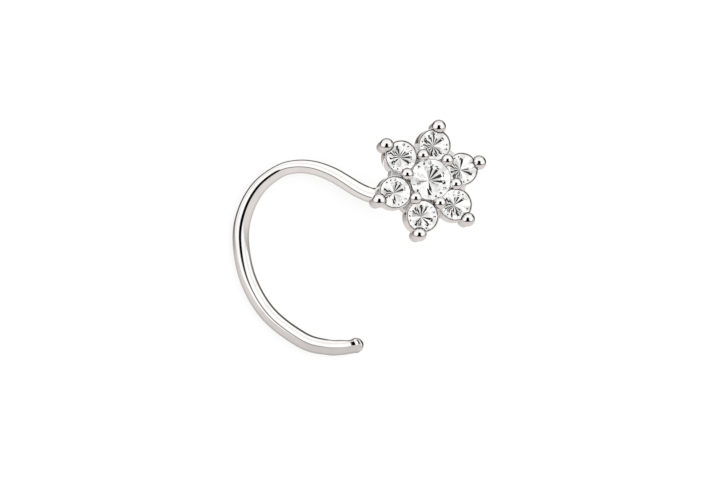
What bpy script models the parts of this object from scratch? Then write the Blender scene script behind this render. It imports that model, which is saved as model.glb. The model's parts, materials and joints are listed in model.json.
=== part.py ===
"""Nose hoop with a six-petal flower: seven round stones in a soldered setting, on a post and an open hoop of wire.

The hoop lies flat on the floor and carries the post, which leans back over it with the flower on top.
Metres, +Z up. The origin is the bottom centre of the whole object.
"""

import math
from collections import namedtuple

import bmesh
import bpy
from mathutils import Matrix, Vector

MM = 0.001

# Wire, hoop and post
WIRE_DIAMETER = 0.80 * MM
HOOP_RADIUS = 4.51 * MM  # from the hoop's centre to the middle of the wire
POST_REACH = 6.01 * MM  # from the hoop's centre to the post's foot
POST_LENGTH = 6.60 * MM  # from the wire at the foot to the girdles of the petal stones
POST_LEAN = math.radians(23.8)  # away from upright
POST_LEAN_HEADING = math.radians(168.3)  # the way that the post leans, from the line to its foot
POST_BEND_RADIUS = 0.80 * MM  # at the middle of the wire, where the post bends up from the hoop
POST_ARRIVAL_HEADING = math.radians(-31.6)  # the way that the wire runs as it reaches the foot
END_BALL_DIAMETER = 0.74 * MM

# Stones
CENTRE_STONE_DIAMETER = 2.00 * MM
PETAL_STONE_DIAMETER = 1.48 * MM
PETAL_CIRCLE_RADIUS = 1.74 * MM  # from the flower's centre to the middle of a petal stone
CENTRE_STONE_LIFT = 0.45 * MM  # girdle of the centre stone above those of the petals
FLOWER_TURN = math.radians(236.3)  # of the first petal, round the post from the way that it leans

# Setting
SEAT_CLEARANCE = 0.025 * MM
PETAL_RIM = 0.070 * MM  # of a collar, beyond its stone
COLLAR_RISE = 0.03 * MM  # of a collar's rim over its stone's girdle
HEAD_DEPTH = 0.86 * MM  # from the petal girdles down to the flat back of the collars
COLLAR_EDGE_ROUND = 0.05 * MM
PETAL_BORE_DIAMETER = 0.76 * MM  # open back under a petal stone
BACK_PLATE = 0.22 * MM  # solid metal under the centre stone, where the post is soldered
BACK_PLATE_PROUD = 0.04 * MM  # of the plate's flat back, beyond the backs of the collars
WEB_REACH = 0.353 * MM  # from the line between two petal stones out to the face of the web that joins them
WEB_WIDTH = 0.42 * MM
WEB_DROP = 0.06 * MM  # of a web under the rims, and of its back inside the backs of the collars
OUTER_PRONG_REACH = 0.90 * MM  # from the middle of a petal stone to that of its outer prong
OUTER_BALL_DIAMETER = 0.65 * MM
OUTER_BALL_LIFT = 0.05 * MM  # of the ball's centre over the petal girdles
OUTER_SHAFT_DIAMETER = 0.58 * MM
INNER_PRONG_REACH = 0.21 * MM  # from the centre stone's girdle to the middle of an inner prong
INNER_BALL_DIAMETER = 0.53 * MM
INNER_BALL_LIFT = 0.65 * MM  # over the petal girdles
INNER_SHAFT_DIAMETER = 0.42 * MM
PRONG_OVERHANG = 0.12 * MM  # of a prong's foot below the back of the collars
PRONG_FOOT_ROUND_SHARE = 1 / 3  # of the shaft's radius
HOLLOW_SHARE = 1 / 3  # of the centre stone's radius, for the room under its culet

# Cut of every stone, as shares of its diameter, and the slopes of its main facets
TABLE_SHARE = 0.57
GIRDLE_SHARE = 0.03
STAR_SHARE = 0.50  # of the way from the table's edge to the girdle
LOWER_FACET_SHARE = 0.78  # of the way from the girdle to the culet
CROWN_SLOPE = math.radians(34.5)
PAVILION_SLOPE = math.radians(40.8)
CUT_SIDES = 8

ROUND_STEPS = 24
PRONG_STEPS = 14
BALL_ARC_STEPS = 5
EDGE_ARC_STEPS = 2
WIRE_STEP = math.radians(4.5)  # between two sections of the hoop
BEND_STEP = math.radians(10.0)  # between two sections of the post's bend
FLAT_ENOUGH = math.radians(0.5)  # between two faces that lie in one facet
WIRE_BEVEL_RESOLUTION = 4
MERGE = 1e-7  # points nearer than this are one

RouteRow = namedtuple("RouteRow", "angle reach thickness")

# The hoop from its ball end round to the post: degrees from the line to the post's foot, the distance from the
# hoop's centre as a share of HOOP_RADIUS, and the wire's thickness as a share of WIRE_DIAMETER
HOOP_ROUTE = (
    RouteRow(angle=257.5, reach=1.034, thickness=0.84),
    RouteRow(angle=253.0, reach=1.026, thickness=0.83),
    RouteRow(angle=246.0, reach=1.013, thickness=0.91),
    RouteRow(angle=236.0, reach=1.005, thickness=0.95),
    RouteRow(angle=218.0, reach=1.000, thickness=1.00),
    RouteRow(angle=190.0, reach=1.000, thickness=1.01),
    RouteRow(angle=165.0, reach=1.002, thickness=1.01),
    RouteRow(angle=140.0, reach=1.003, thickness=0.99),
    RouteRow(angle=120.0, reach=1.001, thickness=0.96),
    RouteRow(angle=100.0, reach=0.998, thickness=0.90),
    RouteRow(angle=80.0, reach=1.000, thickness=0.82),
    RouteRow(angle=66.0, reach=0.997, thickness=0.82),
    RouteRow(angle=53.0, reach=0.984, thickness=0.86),
    RouteRow(angle=40.0, reach=0.967, thickness=0.90),
    RouteRow(angle=30.0, reach=0.959, thickness=0.92),
    RouteRow(angle=21.0, reach=0.971, thickness=0.93),
    RouteRow(angle=15.2, reach=1.001, thickness=0.93),
    RouteRow(angle=10.0, reach=1.052, thickness=0.92),
)

PetalRow = namedtuple("PetalRow", "prong_shift stone_turn")

# The flower is set by hand: how far each outer prong stands beside its petal's line, in degrees round the flower,
# and how far each petal stone is turned in its seat, in degrees
PETALS = (
    PetalRow(prong_shift=-0.9, stone_turn=4.0),
    PetalRow(prong_shift=1.5, stone_turn=15.0),
    PetalRow(prong_shift=2.7, stone_turn=9.0),
    PetalRow(prong_shift=-0.3, stone_turn=20.0),
    PetalRow(prong_shift=-3.8, stone_turn=13.0),
    PetalRow(prong_shift=0.4, stone_turn=2.0),
)
CENTRE_STONE_TURN = 7.0


def clear_scene():
    for thing in list(bpy.data.objects):
        bpy.data.objects.remove(thing)


def new_collection(name, hidden=False):
    collection = bpy.data.collections.new(name)
    collection.hide_render = hidden
    bpy.context.scene.collection.children.link(collection)
    return collection


def material(name, colour, roughness, metallic, transmission=0.0, index=1.45):
    made = bpy.data.materials.new(name)
    made.use_nodes = True
    shader = made.node_tree.nodes["Principled BSDF"]
    shader.inputs["Base Color"].default_value = (*colour, 1.0)
    shader.inputs["Roughness"].default_value = roughness
    shader.inputs["Metallic"].default_value = metallic
    shader.inputs["Transmission Weight"].default_value = transmission
    shader.inputs["IOR"].default_value = index
    made.diffuse_color = (*colour, 1.0)
    return made


def add_object(name, mesh, collection, frame=None):
    made = bpy.data.objects.new(name, mesh)
    made.matrix_world = frame or Matrix.Identity(4)
    collection.objects.link(made)
    return made


def hide_as_helper(thing):
    thing.hide_render = True
    thing.display_type = "WIRE"


def polar(angle, reach, height=0.0):
    return Vector((reach * math.cos(angle), reach * math.sin(angle), height))


def turned(name, profile, steps, collection, frame, ring=False):
    """A body of revolution about its own Z: the profile runs down the outer side, top to bottom.

    A ring's profile goes on up the bore to where it began.
    """
    mesh = bpy.data.meshes.new(name)
    points = [(reach, 0.0, height) for reach, height in profile]
    edges = [(i, i + 1) for i in range(len(points) - 1)]
    if ring:
        edges.append((len(points) - 1, 0))
    mesh.from_pydata(points, edges, [])
    made = add_object(name, mesh, collection, frame)
    screw = made.modifiers.new("turn", "SCREW")
    screw.axis = "Z"
    screw.angle = 2.0 * math.pi
    screw.steps = steps
    screw.render_steps = steps
    screw.use_merge_vertices = True
    screw.merge_threshold = MERGE
    hide_as_helper(made)
    return made


def arc(centre_reach, centre_height, radius, start, end, steps):
    """Points of an arc in a profile, from one angle above the horizontal to another."""
    angles = [start + (end - start) * i / steps for i in range(steps + 1)]
    return [(centre_reach + radius * math.cos(a), centre_height + radius * math.sin(a)) for a in angles]


# Stones

class Cut:
    """The heights and radii of a round brilliant of one diameter, with its girdle's middle at height 0."""

    def __init__(self, diameter):
        self.radius = diameter / 2
        self.table = self.radius * TABLE_SHARE
        self.girdle = diameter * GIRDLE_SHARE / 2
        self.top = self.crown_height(self.table, 0.0)
        self.culet = self.pavilion_height(0.0, 0.0)
        self.half_turn = math.pi / CUT_SIDES
        table_side = self.table * math.cos(self.half_turn)
        self.star = table_side + (self.radius - table_side) * STAR_SHARE
        self.lower = self.radius * (1.0 - LOWER_FACET_SHARE)

    def crown_height(self, reach, off_axis):
        return self.girdle + (self.radius - reach * math.cos(off_axis)) * math.tan(CROWN_SLOPE)

    def pavilion_height(self, reach, off_axis):
        return -self.girdle - (self.radius - reach * math.cos(off_axis)) * math.tan(PAVILION_SLOPE)

    def corners(self):
        """Every corner of the stone: its facets are the flat sides of the hull round them."""
        points = [Vector((0.0, 0.0, self.culet))]
        for side in range(CUT_SIDES):
            main = 2.0 * self.half_turn * side
            between = main + self.half_turn
            points += [
                polar(main, self.table, self.top),
                polar(between, self.star, self.crown_height(self.star, self.half_turn)),
                polar(main, self.radius, self.girdle),
                polar(between, self.radius, self.girdle),
                polar(main, self.radius, -self.girdle),
                polar(between, self.radius, -self.girdle),
                polar(between, self.lower, self.pavilion_height(self.lower, self.half_turn)),
            ]
        return points

    def seat_profile(self):
        """The stone's outline with room all round it."""
        room = SEAT_CLEARANCE
        return [
            (0.0, self.top + room),
            (self.table + room, self.top + room),
            (self.radius + room, self.girdle + room / 2),
            (self.radius + room, -self.girdle - room / 2),
            (0.0, self.culet - room / math.cos(PAVILION_SLOPE)),
        ]


def stone_mesh(name, cut):
    shape = bmesh.new()
    for corner in cut.corners():
        shape.verts.new(corner)
    bmesh.ops.convex_hull(shape, input=shape.verts)
    bmesh.ops.dissolve_limit(shape, angle_limit=FLAT_ENOUGH, verts=shape.verts, edges=shape.edges)
    bmesh.ops.recalc_face_normals(shape, faces=shape.faces)
    mesh = bpy.data.meshes.new(name)
    shape.to_mesh(mesh)
    shape.free()
    return mesh


# Flower

def petal_angle(number):
    return FLOWER_TURN + 2.0 * math.pi * number / len(PETALS)


def outer_prong_angle(number):
    return petal_angle(number) + math.radians(PETALS[number].prong_shift)


def valley_angle(number):
    return petal_angle(number) + math.pi / len(PETALS)


def inner_prong_circle():
    return CENTRE_STONE_DIAMETER / 2 + INNER_PRONG_REACH


def at(head, angle, reach, height=0.0):
    """A frame at a place on the flower, turned so that its X points away from the flower's centre."""
    return head @ Matrix.Translation(polar(angle, reach, height)) @ Matrix.Rotation(angle, 4, "Z")


def seat(name, cut, frame, collection):
    """The cutter of one stone's seat, turned half a step so that its sides cross those of what it cuts."""
    half_step = Matrix.Rotation(math.pi / ROUND_STEPS, 4, "Z")
    return turned(name, cut.seat_profile(), ROUND_STEPS, collection, frame @ half_step)


def petal_collar(number, head, collection):
    """A turned ring with an open back: the stone's seat is cut from it later."""
    outer = PETAL_STONE_DIAMETER / 2 + PETAL_RIM
    bore = PETAL_BORE_DIAMETER / 2
    rounded = arc(outer - COLLAR_EDGE_ROUND, COLLAR_RISE - COLLAR_EDGE_ROUND, COLLAR_EDGE_ROUND,
                  math.pi / 2, 0.0, EDGE_ARC_STEPS)
    foot = arc(outer - COLLAR_EDGE_ROUND, COLLAR_EDGE_ROUND - HEAD_DEPTH, COLLAR_EDGE_ROUND,
               0.0, -math.pi / 2, EDGE_ARC_STEPS)
    profile = [(bore, COLLAR_RISE), *rounded, *foot, (bore, -HEAD_DEPTH)]
    frame = at(head, petal_angle(number), PETAL_CIRCLE_RADIUS)
    return turned(f"collar_{number + 1}", profile, ROUND_STEPS, collection, frame, ring=True)


def centre_collar(cut, head, collection):
    """The cup under the centre stone: narrow between the petal stones, with a solid back for the post."""
    top = CENTRE_STONE_LIFT - cut.girdle
    waist = PETAL_CIRCLE_RADIUS - PETAL_STONE_DIAMETER / 2 - 2.0 * SEAT_CLEARANCE
    back = -HEAD_DEPTH - BACK_PLATE_PROUD
    profile = [(0.0, top), (cut.radius - SEAT_CLEARANCE, top), (waist, 0.0), (waist, back), (0.0, back)]
    return turned("centre_collar", profile, ROUND_STEPS, collection, head)


def centre_hollow(cut, head, collection):
    """Room under the centre stone's culet, down to the back plate."""
    floor = BACK_PLATE - HEAD_DEPTH
    reach = cut.radius * HOLLOW_SHARE
    profile = [(0.0, 0.0), (reach, 0.0), (reach, floor), (0.0, floor)]
    return turned("centre_hollow", profile, ROUND_STEPS, collection, head)


def prong(name, ball, lift, shaft, frame, collection):
    """A round shaft with a ball on top, from the back of the head up past the stone that it holds."""
    ball_radius = ball / 2
    shaft_radius = shaft / 2
    neck = -math.acos(shaft_radius / ball_radius)
    foot = -HEAD_DEPTH - PRONG_OVERHANG
    corner = shaft_radius * PRONG_FOOT_ROUND_SHARE
    profile = [
        *arc(0.0, lift, ball_radius, math.pi / 2, neck, BALL_ARC_STEPS),
        *arc(shaft_radius - corner, foot + corner, corner, 0.0, -math.pi / 2, EDGE_ARC_STEPS),
        (0.0, foot),
    ]
    profile[0] = (0.0, lift + ball_radius)
    return turned(name, profile, PRONG_STEPS, collection, frame)


def web(number, head, collection):
    """The metal that joins two neighbouring collars at the back of a valley."""
    inner = inner_prong_circle() / 2
    outer = PETAL_CIRCLE_RADIUS * math.cos(math.pi / len(PETALS)) + WEB_REACH
    top = COLLAR_RISE - WEB_DROP
    back = WEB_DROP - HEAD_DEPTH
    shape = bmesh.new()
    bmesh.ops.create_cube(shape, size=1.0)
    size = Vector((outer - inner, WEB_WIDTH, top - back))
    bmesh.ops.scale(shape, vec=size, verts=shape.verts)
    mesh = bpy.data.meshes.new(f"web_{number + 1}")
    shape.to_mesh(mesh)
    shape.free()
    frame = at(head, valley_angle(number), (outer + inner) / 2, (top + back) / 2)
    made = add_object(mesh.name, mesh, collection, frame)
    hide_as_helper(made)
    return made


# Wire

def smooth_between(before, start, end, after, share):
    """Catmull-Rom: a value between start and end, on a curve through all four."""
    return 0.5 * (
        2.0 * start
        + (end - before) * share
        + (2.0 * before - 5.0 * start + 4.0 * end - after) * share**2
        + (3.0 * start - before - 3.0 * end + after) * share**3
    )


def route_knots():
    """Each row of the route as a point on the floor, with its wire radius."""
    knots = []
    for row in HOOP_ROUTE:
        radius = row.thickness * WIRE_DIAMETER / 2
        knots.append((polar(math.radians(row.angle), row.reach * HOOP_RADIUS, radius), radius))
    return knots


def post_direction():
    return polar(POST_LEAN_HEADING, math.sin(POST_LEAN), math.cos(POST_LEAN))


def post_foot():
    return polar(0.0, POST_REACH, HOOP_ROUTE[-1].thickness * WIRE_DIAMETER / 2)


def post_bend(radius):
    """The arc at the post's foot, from the floor up to the post's own direction."""
    arriving = polar(POST_ARRIVAL_HEADING, 1.0)
    leaving = post_direction()
    turn = arriving.angle(leaving)
    foot = post_foot()
    start = foot - arriving * POST_BEND_RADIUS * math.tan(turn / 2)
    inward = (leaving - arriving * arriving.dot(leaving)).normalized()
    steps = math.ceil(turn / BEND_STEP)
    for i in range(steps + 1):
        angle = turn * i / steps
        along = arriving * math.sin(angle) + inward * (1.0 - math.cos(angle))
        yield start + along * POST_BEND_RADIUS, radius


def wire_sections():
    """The middle of the wire and its radius, from the ball end round the hoop and up the post."""
    knots = route_knots()
    bend = list(post_bend(knots[-1][1]))
    through = [*knots, bend[0]]
    sections = []
    for i in range(len(through) - 1):
        window = [through[max(0, min(len(through) - 1, i + shift))] for shift in (-1, 0, 1, 2)]
        length = (through[i + 1][0] - through[i][0]).length
        count = max(1, round(length / (HOOP_RADIUS * WIRE_STEP)))
        for step in range(count):
            sections.append(tuple(smooth_between(*column, step / count) for column in zip(*window)))
    top = post_foot() + post_direction() * (POST_LENGTH - HEAD_DEPTH + BACK_PLATE / 2)
    return [*sections, *bend, (top, bend[-1][1])]


def wire(collection):
    curve = bpy.data.curves.new("wire", "CURVE")
    curve.dimensions = "3D"
    curve.bevel_depth = WIRE_DIAMETER / 2
    curve.bevel_resolution = WIRE_BEVEL_RESOLUTION
    curve.use_fill_caps = True
    sections = wire_sections()
    spline = curve.splines.new("POLY")
    spline.points.add(len(sections) - 1)
    for point, (place, radius) in zip(spline.points, sections):
        point.co = (*place, 1.0)
        point.radius = radius / (WIRE_DIAMETER / 2)
    return curve_to_mesh(add_object("wire", curve, collection), collection)


def curve_to_mesh(source, collection):
    """The curve as a closed mesh, with its end caps welded to its sides."""
    graph = bpy.context.evaluated_depsgraph_get()
    mesh = bpy.data.meshes.new_from_object(source.evaluated_get(graph))
    shape = bmesh.new()
    shape.from_mesh(mesh)
    bmesh.ops.remove_doubles(shape, verts=shape.verts, dist=MERGE)
    bmesh.ops.recalc_face_normals(shape, faces=shape.faces)
    shape.to_mesh(mesh)
    shape.free()
    name, frame = source.name, source.matrix_world.copy()
    bpy.data.objects.remove(source)
    made = add_object(name, mesh, collection, frame)
    hide_as_helper(made)
    return made


def end_ball(collection):
    """The rounded ball that the wire ends in, resting on the floor."""
    radius = END_BALL_DIAMETER / 2
    end = HOOP_ROUTE[0]
    profile = arc(0.0, 0.0, radius, math.pi / 2, -math.pi / 2, 2 * BALL_ARC_STEPS)
    profile[0] = (0.0, radius)
    profile[-1] = (0.0, -radius)
    frame = Matrix.Translation(polar(math.radians(end.angle), end.reach * HOOP_RADIUS, radius))
    return turned("end_ball", profile, PRONG_STEPS, collection, frame)


# Assembly

def head_frame():
    """The flower's own frame: origin amid the petal girdles, Z out of its face, X the way that the post leans."""
    face = post_direction()
    side = Vector((0.0, 0.0, 1.0)).cross(face).normalized()
    lean = side.cross(face)
    turn = Matrix((lean, side, face)).transposed().to_4x4()
    place = post_foot() + face * POST_LENGTH
    return Matrix.Translation(place) @ turn


def join(target, operation, collection):
    step = target.modifiers.new(operation.lower(), "BOOLEAN")
    step.operation = operation
    step.operand_type = "COLLECTION"
    step.collection = collection
    step.solver = "MANIFOLD"


def setting_and_hoop(head, centre_cut, petal_cut, parts, metal):
    """All of the soldered metal as one solid, with the stones' seats cut from it."""
    joined = new_collection("soldered_pieces", hidden=True)
    cutters = new_collection("seat_cutters", hidden=True)
    wire(joined)
    end_ball(joined)
    for number in range(len(PETALS)):
        petal_collar(number, head, joined)
        web(number, head, joined)
        outer = at(head, outer_prong_angle(number), PETAL_CIRCLE_RADIUS + OUTER_PRONG_REACH)
        prong(f"outer_prong_{number + 1}", OUTER_BALL_DIAMETER, OUTER_BALL_LIFT, OUTER_SHAFT_DIAMETER,
              outer, joined)
        inner = at(head, valley_angle(number), inner_prong_circle())
        prong(f"inner_prong_{number + 1}", INNER_BALL_DIAMETER, INNER_BALL_LIFT, INNER_SHAFT_DIAMETER,
              inner, joined)
        middle = at(head, petal_angle(number), PETAL_CIRCLE_RADIUS)
        seat(f"petal_seat_{number + 1}", petal_cut, middle, cutters)
    seat("centre_seat", centre_cut, head @ Matrix.Translation((0.0, 0.0, CENTRE_STONE_LIFT)), cutters)
    centre_hollow(centre_cut, head, cutters)
    core = centre_collar(centre_cut, head, parts)
    core.name = "setting_and_hoop"
    core.hide_render = False
    core.display_type = "TEXTURED"
    core.data.materials.append(metal)
    join(core, "UNION", joined)
    join(core, "DIFFERENCE", cutters)
    return core


def stone(name, cut, frame, turn, parts, clear):
    made = add_object(name, stone_mesh(name, cut), parts, frame @ Matrix.Rotation(math.radians(turn), 4, "Z"))
    made.data.materials.append(clear)
    return made


def stand_on_origin(parts):
    """Moves every root object so that the parts stand on the floor with the origin under their box's middle."""
    bpy.context.view_layer.update()
    graph = bpy.context.evaluated_depsgraph_get()
    corners = []
    for thing in parts.objects:
        evaluated = thing.evaluated_get(graph)
        mesh = evaluated.to_mesh()
        corners += [thing.matrix_world @ vertex.co for vertex in mesh.vertices]
        evaluated.to_mesh_clear()
    low = Vector([min(corner[axis] for corner in corners) for axis in range(3)])
    high = Vector([max(corner[axis] for corner in corners) for axis in range(3)])
    middle = (low + high) / 2
    shift = Matrix.Translation((-middle.x, -middle.y, -low.z))
    for thing in bpy.data.objects:
        thing.matrix_world = shift @ thing.matrix_world


def main():
    clear_scene()
    parts = new_collection("nose_hoop")
    metal = material("polished_silver", (0.86, 0.85, 0.84), 0.06, 1.0)
    clear = material("clear_stone", (0.97, 0.98, 1.0), 0.0, 0.0, transmission=1.0, index=2.15)
    head = head_frame()
    centre_cut = Cut(CENTRE_STONE_DIAMETER)
    petal_cut = Cut(PETAL_STONE_DIAMETER)
    setting_and_hoop(head, centre_cut, petal_cut, parts, metal)
    lifted = head @ Matrix.Translation((0.0, 0.0, CENTRE_STONE_LIFT))
    stone("centre_stone", centre_cut, lifted, CENTRE_STONE_TURN, parts, clear)
    for number, petal in enumerate(PETALS):
        frame = at(head, petal_angle(number), PETAL_CIRCLE_RADIUS)
        stone(f"petal_stone_{number + 1}", petal_cut, frame, petal.stone_turn, parts, clear)
    stand_on_origin(parts)


main()
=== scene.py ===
"""The looks of the nose hoop: polished wire and setting, seven brilliants, a pale floor and tent light."""

import json
import math
from collections import namedtuple

import bmesh
import bpy
from mathutils import Matrix, Vector

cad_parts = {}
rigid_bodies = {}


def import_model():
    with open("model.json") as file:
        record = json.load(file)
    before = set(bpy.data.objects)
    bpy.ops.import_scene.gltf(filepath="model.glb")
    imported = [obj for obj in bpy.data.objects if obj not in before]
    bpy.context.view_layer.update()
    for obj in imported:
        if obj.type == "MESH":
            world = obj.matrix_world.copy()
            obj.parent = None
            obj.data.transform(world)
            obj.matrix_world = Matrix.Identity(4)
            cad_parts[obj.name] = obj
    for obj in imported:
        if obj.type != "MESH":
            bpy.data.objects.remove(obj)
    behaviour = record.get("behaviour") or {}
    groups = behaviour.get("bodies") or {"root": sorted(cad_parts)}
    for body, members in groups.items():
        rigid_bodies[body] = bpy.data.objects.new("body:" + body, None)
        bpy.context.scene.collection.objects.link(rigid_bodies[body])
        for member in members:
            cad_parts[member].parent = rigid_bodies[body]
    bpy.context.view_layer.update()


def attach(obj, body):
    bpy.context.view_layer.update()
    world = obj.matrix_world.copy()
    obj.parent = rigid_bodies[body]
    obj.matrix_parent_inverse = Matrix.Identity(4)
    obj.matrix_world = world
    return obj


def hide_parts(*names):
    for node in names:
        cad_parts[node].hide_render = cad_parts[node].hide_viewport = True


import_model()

MM = 0.001
UP = Vector((0.0, 0.0, 1.0))

# Hoop, post and end ball
HOOP_CENTRE = Vector((-0.71165, 0.04022, 0.0)) * MM  # the origin is under the middle of the whole
WIRE_DIAMETER = 0.80 * MM
HOOP_RADIUS = 4.51 * MM
POST_REACH = 6.01 * MM
POST_LENGTH = 6.60 * MM
POST_LEAN = math.radians(23.8)
POST_LEAN_HEADING = math.radians(168.3)
POST_BEND_RADIUS = 0.80 * MM
POST_ARRIVAL_HEADING = math.radians(-31.6)
END_BALL_DIAMETER = 0.74 * MM
SOLDER_REACH = 0.16 * MM  # of the solder's fillet, out from the post and down it

# Stones
CENTRE_STONE_DIAMETER = 2.00 * MM
PETAL_STONE_DIAMETER = 1.48 * MM
PETAL_CIRCLE_RADIUS = 1.74 * MM
CENTRE_STONE_LIFT = 0.45 * MM
FLOWER_TURN = math.radians(236.3)
TABLE_SHARE = 0.57
GIRDLE_SHARE = 0.03
STAR_SHARE = 0.50
LOWER_FACET_SHARE = 0.78
CROWN_SLOPE = math.radians(34.5)
PAVILION_SLOPE = math.radians(42.2)
CUT_SIDES = 8

# Setting
SEAT_CLEARANCE = 0.025 * MM
PETAL_RIM = 0.070 * MM
COLLAR_RISE = 0.03 * MM
HEAD_DEPTH = 0.86 * MM
PETAL_BORE_DIAMETER = 0.76 * MM
BACK_PLATE = 0.22 * MM
BACK_PLATE_PROUD = 0.04 * MM
WEB_REACH = 0.353 * MM
WEB_WIDTH = 0.42 * MM
WEB_DROP = 0.06 * MM
OUTER_PRONG_REACH = 0.90 * MM
INNER_PRONG_REACH = 0.21 * MM
PRONG_OVERHANG = 0.12 * MM
PRONG_FOOT_ROUND_SHARE = 1 / 3
HOLLOW_SHARE = 1 / 3
EDGE_ROUND = 0.05 * MM
FINE_EDGE_ROUND = 0.018 * MM
WEB_EDGE_ROUND = 0.06 * MM

# How finely the pieces are made
WIRE_SIDES = 64
WIRE_RINGS = 9  # between two knots of the route
BEND_RINGS = 24
TURNED_STEPS = 96
PRONG_STEPS = 64
BALL_ROWS = 24
ROUND_ROWS = 5
GIRDLE_STEPS = 96
WEB_ROWS = 4
FLOOR_STEPS = 96
MERGE = 1e-8
SMOOTH_UNDER = math.radians(32.0)  # faces that meet at less are shaded as one

RouteRow = namedtuple("RouteRow", "angle reach thickness")
HOOP_ROUTE = (
    RouteRow(angle=257.5, reach=1.034, thickness=0.84),
    RouteRow(angle=253.0, reach=1.026, thickness=0.83),
    RouteRow(angle=246.0, reach=1.013, thickness=0.91),
    RouteRow(angle=236.0, reach=1.005, thickness=0.95),
    RouteRow(angle=218.0, reach=1.000, thickness=1.00),
    RouteRow(angle=190.0, reach=1.000, thickness=1.01),
    RouteRow(angle=165.0, reach=1.002, thickness=1.01),
    RouteRow(angle=140.0, reach=1.003, thickness=0.99),
    RouteRow(angle=120.0, reach=1.001, thickness=0.96),
    RouteRow(angle=100.0, reach=0.998, thickness=0.90),
    RouteRow(angle=80.0, reach=1.000, thickness=0.82),
    RouteRow(angle=66.0, reach=0.997, thickness=0.82),
    RouteRow(angle=53.0, reach=0.984, thickness=0.86),
    RouteRow(angle=40.0, reach=0.967, thickness=0.90),
    RouteRow(angle=30.0, reach=0.959, thickness=0.92),
    RouteRow(angle=21.0, reach=0.971, thickness=0.93),
    RouteRow(angle=15.2, reach=1.001, thickness=0.93),
    RouteRow(angle=10.0, reach=1.052, thickness=0.92),
)

# Angles in degrees. The dark sides are where a stone's pavilion is painted with dark reflection rays, as
# headings on the flower
PetalRow = namedtuple("PetalRow", "prong_shift stone_turn dark_sides")
PETALS = (
    PetalRow(prong_shift=-0.9, stone_turn=4.0, dark_sides=(12.0, 258.0)),
    PetalRow(prong_shift=1.5, stone_turn=15.0, dark_sides=(336.0, 197.0)),
    PetalRow(prong_shift=2.7, stone_turn=9.0, dark_sides=(351.0, 207.0)),
    PetalRow(prong_shift=-0.3, stone_turn=20.0, dark_sides=(248.0, 136.0)),
    PetalRow(prong_shift=-3.8, stone_turn=13.0, dark_sides=(7.0, 233.0)),
    PetalRow(prong_shift=0.4, stone_turn=2.0, dark_sides=(321.0, 38.0)),
)
CENTRE_STONE_TURN = 7.0
CENTRE_PAINTED_DARK_SIDES = (207.0, 167.0)

ProngKind = namedtuple("ProngKind", "ball lift shaft")
OUTER_PRONG = ProngKind(ball=0.70 * MM, lift=0.05 * MM, shaft=0.58 * MM)
INNER_PRONG = ProngKind(ball=0.60 * MM, lift=0.65 * MM, shaft=0.42 * MM)

# The camera looks down on the hoop from a long way off, a little rolled
CAMERA_LEAN = math.radians(38.1)  # of its look, away from straight down
CAMERA_ROLL = math.radians(24.0)
CAMERA_HEADING = math.radians(-10.7)  # the way that it looks, seen from above
CAMERA_DISTANCE = 0.35
IMAGE_SIZE = Vector((720.0, 480.0))
PIXELS_PER_METRE = 20750.0
HOOP_MIDDLE_PIXEL = Vector((319.0, 256.0))  # where the hoop's middle shows
HOOP_MIDDLE_HEIGHT = 0.38 * MM
SENSOR_WIDTH = 36.0
CAMERA_NEAR_END = 0.01

FLOOR_RADIUS = 0.6


# Shader sums

class Signal:
    """A socket of a node tree: Python's operators on it add the nodes that do the sum."""

    def __init__(self, socket):
        self.socket = socket

    @classmethod
    def node(cls, tree, kind, settings=None, inputs=None, output=0):
        made = tree.nodes.new(kind)
        for name, value in (settings or {}).items():
            setattr(made, name, value)
        for name, value in (inputs or {}).items():
            cls.feed(value, made.inputs[name])
        return cls(made.outputs[output])

    @staticmethod
    def feed(value, socket):
        if isinstance(value, Signal):
            socket.id_data.links.new(value.socket, socket)
        else:
            socket.default_value = value

    def math(self, operation, *values):
        settings = {"operation": operation}
        return Signal.node(self.socket.id_data, "ShaderNodeMath", settings, dict(enumerate(values)))

    def vector_math(self, operation, inputs, output=0):
        settings = {"operation": operation}
        return Signal.node(self.socket.id_data, "ShaderNodeVectorMath", settings, inputs, output)

    def __add__(self, other):
        return self.math("ADD", self, other)

    def __radd__(self, other):
        return self.math("ADD", other, self)

    def __sub__(self, other):
        return self.math("SUBTRACT", self, other)

    def __rsub__(self, other):
        return self.math("SUBTRACT", other, self)

    def __mul__(self, other):
        if self.socket.type == "VECTOR" and isinstance(other, (int, float)):
            return self.vector_math("SCALE", {"Vector": self, "Scale": other})
        if self.socket.type == "VECTOR":
            return self.vector_math("MULTIPLY", {0: self, 1: other})
        return self.math("MULTIPLY", self, other)

    def __rmul__(self, other):
        return self.math("MULTIPLY", other, self)

    def __abs__(self):
        return self.math("ABSOLUTE", self)

    def dot(self, axis):
        return self.vector_math("DOT_PRODUCT", {0: self, 1: axis}, "Value")

    def within(self, low, high):
        """0 below low and 1 above high, with a smooth step between. Low may be above high."""
        inputs = {"Value": self, "From Min": low, "From Max": high}
        if low > high:
            inputs.update({"From Min": high, "From Max": low, "To Min": 1.0, "To Max": 0.0})
        settings = {"interpolation_type": "SMOOTHSTEP"}
        return Signal.node(self.socket.id_data, "ShaderNodeMapRange", settings, inputs)

    def between(self, first, second):
        """A colour from first, where this is 0, to second, where it is 1."""
        settings = {"data_type": "RGBA", "blend_type": "MIX"}
        inputs = {0: self, 6: opaque(first), 7: opaque(second)}
        return Signal.node(self.socket.id_data, "ShaderNodeMix", settings, inputs, 2)


def opaque(colour):
    return colour if isinstance(colour, Signal) else (*colour, 1.0)


def noise(place, scale, detail=2.0, roughness=0.5):
    inputs = {"Vector": place, "Scale": scale, "Detail": detail, "Roughness": roughness}
    return Signal.node(place.socket.id_data, "ShaderNodeTexNoise", {}, inputs, "Fac")


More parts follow.
